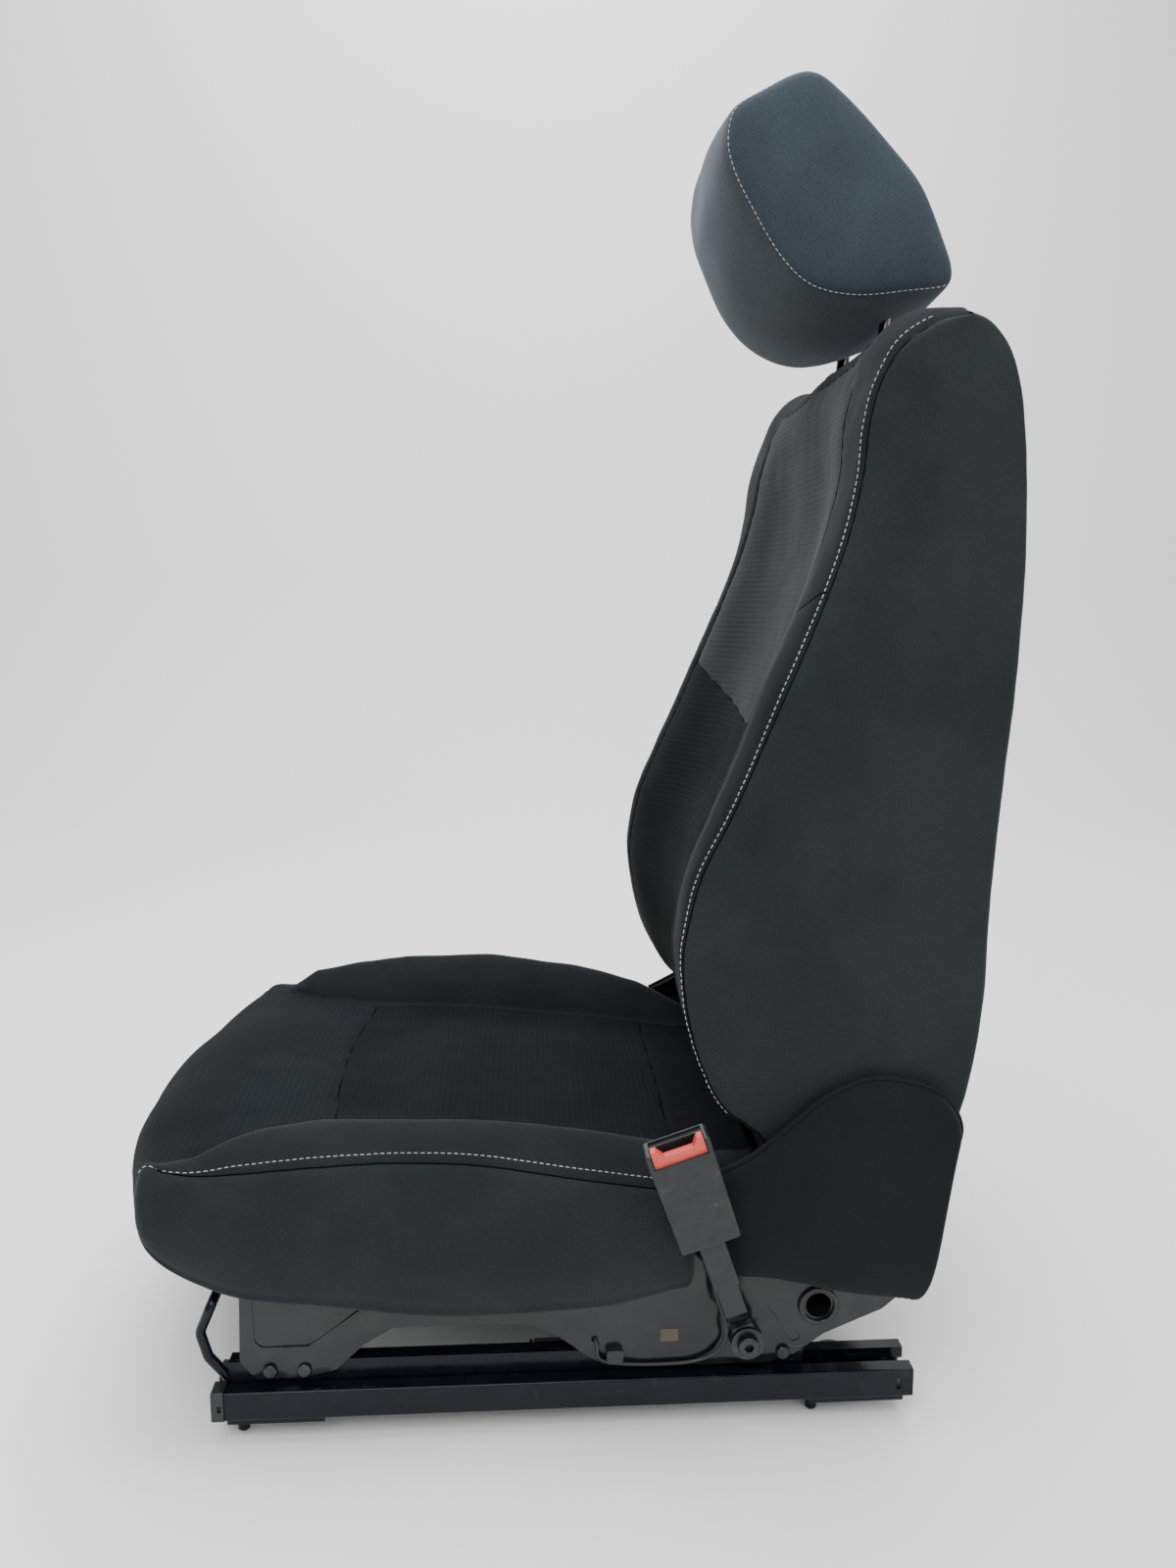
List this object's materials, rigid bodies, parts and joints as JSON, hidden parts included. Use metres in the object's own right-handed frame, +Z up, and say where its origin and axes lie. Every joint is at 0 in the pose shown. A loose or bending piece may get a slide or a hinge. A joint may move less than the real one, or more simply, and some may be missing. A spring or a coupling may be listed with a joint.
{
  "type": "car front seat",
  "caption": "Cloth front car seat with sliding rails, reclining backrest, height-adjustable headrest and swinging belt buckle.",
  "frame": {"origin": "centre of the four floor bolt holes, on the underside of the rail feet", "axes": "+Z up, -Y the way the sitter faces, +X the inboard side with the belt buckle"},
  "size_m": [0.559, 0.757, 1.1322],
  "materials": {
    "rail_steel": "semi-gloss black e-coat",
    "frame_steel": "satin dark grey coat",
    "spring_steel": "drawn wire",
    "bright_steel": "polished plating",
    "machined_steel": "zinc plated",
    "black_plastic": "matte, fine grain",
    "red_plastic": "satin",
    "seat_cloth": "woven cloth",
    "panel_cloth": "flat cloth",
    "foam": "open-cell foam",
    "white_plastic": "natural nylon",
    "rubber": "flexible lead"
  },
  "bodies": {
    "floor_rails": {"lower_rail_inboard": "rail_steel", "lower_rail_outboard": "rail_steel", "rail_feet": "rail_steel", "locating_pegs": "rail_steel", "rail_end_caps": "black_plastic", "rail_end_stops": "rail_steel"},
    "seat_base": {"upper_rail_inboard": "rail_steel", "upper_rail_outboard": "rail_steel", "release_bar_pins": "machined_steel", "latch_brackets": "machined_steel", "side_member_inboard": "frame_steel", "side_member_outboard": "frame_steel", "tube_collars": "frame_steel", "rail_rivets": "machined_steel", "front_cross_tube": "frame_steel", "rear_cross_tube": "frame_steel", "cushion_spring_rod": "frame_steel", "seat_pan": "frame_steel", "cushion_springs": "spring_steel", "cushion_foam": "foam", "cushion_cover": "seat_cloth", "cushion_front_trim": "black_plastic", "recliner_wing_inboard": "seat_cloth", "recliner_wing_outboard": "seat_cloth", "recliner_bases": "frame_steel", "recliner_fixed_discs": "machined_steel", "buckle_anchor_bolt": "machined_steel", "buckle_anchor_spacer": "machined_steel", "buckle_wire": "rubber", "wire_clip": "black_plastic"},
    "rail_bearings": {"rail_balls": "machined_steel", "ball_cages": "white_plastic"},
    "release_bar": {"release_bar": "rail_steel"},
    "latch_inboard": {"rail_latch_inboard": "machined_steel"},
    "latch_outboard": {"rail_latch_outboard": "machined_steel"},
    "backrest": {"recliner_moving_discs": "machined_steel", "back_side_member_inboard": "frame_steel", "back_side_member_outboard": "frame_steel", "back_top_tube": "frame_steel", "headrest_sleeves": "frame_steel", "headrest_guides": "black_plastic", "back_lower_tube": "frame_steel", "back_springs": "spring_steel", "back_foam": "foam", "back_cover": "seat_cloth", "back_panel": "panel_cloth"},
    "headrest_button": {"headrest_release_button": "black_plastic"},
    "headrest": {"headrest_rod": "bright_steel", "headrest_core": "black_plastic", "headrest_foam": "foam", "headrest_cover": "seat_cloth"},
    "recline_control": {"recline_shaft": "machined_steel", "recline_lever": "black_plastic"},
    "buckle": {"buckle_strap": "machined_steel", "buckle_sleeve": "black_plastic", "buckle_housing": "black_plastic", "buckle_frame": "machined_steel", "buckle_latch": "machined_steel", "buckle_spring": "spring_steel"},
    "buckle_button": {"buckle_button": "red_plastic"}
  },
  "joints": [
    {"name": "seat_slide", "type": "slide", "parent": "floor_rails", "child": "seat_base", "axis": [0, 1, 0], "range_m": [0, 0.19]},
    {"name": "bearing_travel", "type": "slide", "parent": "floor_rails", "child": "rail_bearings", "axis": [0, 1, 0], "range_m": [0, 0.095]},
    {"name": "release_bar_lift", "type": "hinge", "parent": "seat_base", "child": "release_bar", "pos_m": [0, -0.17, 0.024], "axis": [-1, 0, 0], "range_deg": [0, 4.5], "stiffness_Nm_per_rad": 30, "springref_deg": -2.86},
    {"name": "latch_lift_inboard", "type": "hinge", "parent": "seat_base", "child": "latch_inboard", "pos_m": [0.2045, 0, 0.04], "axis": [0, 1, 0], "range_deg": [0, 20]},
    {"name": "latch_lift_outboard", "type": "hinge", "parent": "seat_base", "child": "latch_outboard", "pos_m": [-0.2045, 0, 0.04], "axis": [0, -1, 0], "range_deg": [0, 20]},
    {"name": "recline", "type": "hinge", "parent": "seat_base", "child": "backrest", "pos_m": [0, 0.25, 0.205], "axis": [-1, 0, 0], "range_deg": [-8, 45]},
    {"name": "headrest_height", "type": "slide", "parent": "backrest", "child": "headrest", "axis": [0, 0.1045, 0.9945], "range_m": [0, 0.07]},
    {"name": "headrest_button_press", "type": "slide", "parent": "backrest", "child": "headrest_button", "axis": [-1, 0, 0], "range_m": [0, 0.004], "stiffness_N_per_m": 600, "springref_m": -0.002},
    {"name": "recline_lever_lift", "type": "hinge", "parent": "seat_base", "child": "recline_control", "pos_m": [0, 0.25, 0.205], "axis": [-1, 0, 0], "range_deg": [0, 25], "stiffness_Nm_per_rad": 4, "springref_deg": -8.59},
    {"name": "buckle_swing", "type": "hinge", "parent": "seat_base", "child": "buckle", "pos_m": [0.233, 0.15, 0.057], "axis": [1, 0, 0], "range_deg": [-15, 15]},
    {"name": "buckle_press", "type": "slide", "parent": "buckle", "child": "buckle_button", "axis": [0, 0.3239, -0.9461], "range_m": [0, 0.005], "stiffness_N_per_m": 900, "springref_m": -0.001}
  ],
  "couplings": [
    {"joint": "bearing_travel", "follows": "seat_slide", "ratio": 0.5},
    {"joint": "latch_lift_inboard", "follows": "release_bar_lift", "ratio": 4.2},
    {"joint": "latch_lift_outboard", "follows": "release_bar_lift", "ratio": 4.2}
  ]
}
